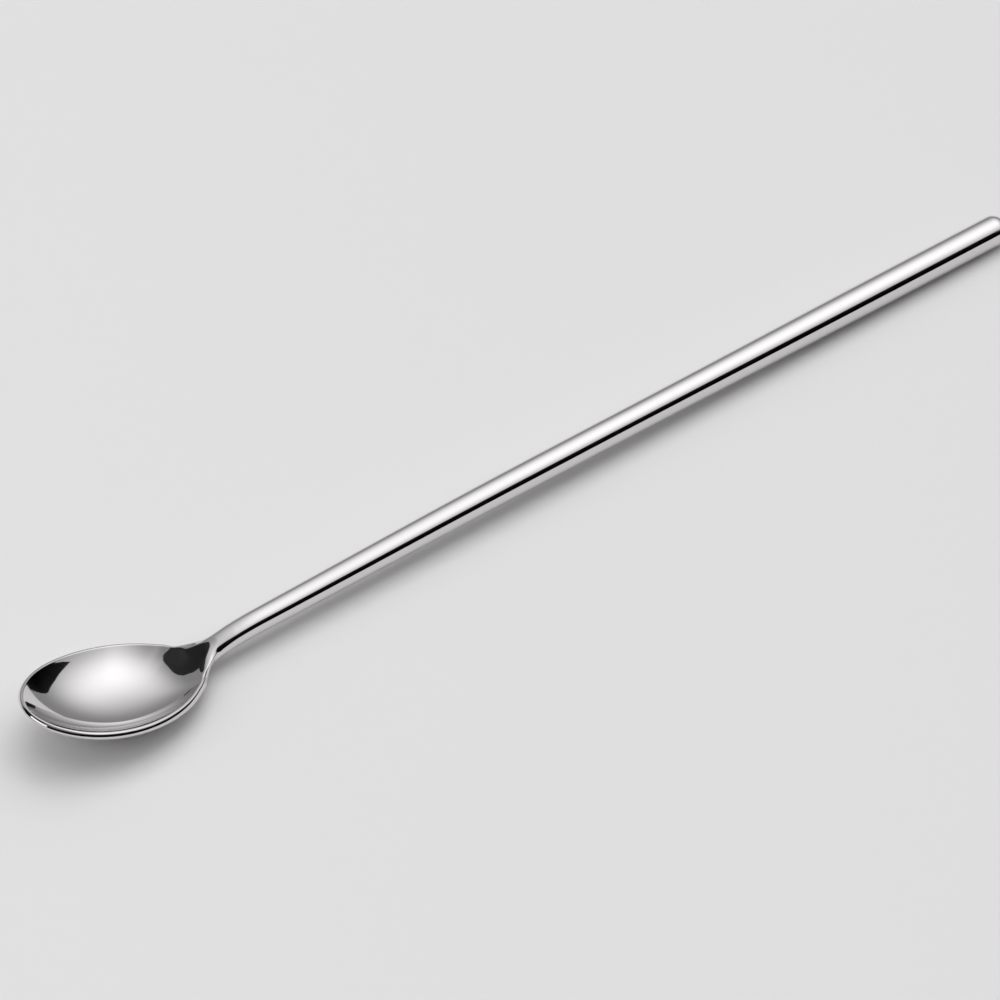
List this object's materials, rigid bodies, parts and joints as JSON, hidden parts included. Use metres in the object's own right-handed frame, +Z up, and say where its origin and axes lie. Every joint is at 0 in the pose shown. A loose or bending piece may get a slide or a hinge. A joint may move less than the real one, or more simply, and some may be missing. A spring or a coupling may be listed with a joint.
{
  "type": "iced tea spoon",
  "caption": "Long-handled iced tea spoon: deep egg-shaped bowl with a rounded rim, slim neck and round hollow handle with a domed end, for stirring tall drinks.",
  "frame": {"origin": "on the table, under the middle of the lying spoon's box", "axes": "+X from the bowl's tip to the handle's end, +Y across the bowl, +Z up out of the bowl's hollow"},
  "size_m": [0.2286, 0.0252, 0.0123],
  "materials": {
    "bowl_steel": "mirror-polished stainless steel",
    "handle_steel": "mirror-polished stainless steel",
    "weld_steel": "weld ground flush and mirror-polished"
  },
  "bodies": {
    "root": {"bowl": "bowl_steel", "bowl_weld": "weld_steel", "neck": "handle_steel", "neck_weld": "weld_steel", "handle_tube": "handle_steel", "cap_weld": "weld_steel", "end_cap": "handle_steel"}
  },
  "joints": []
}
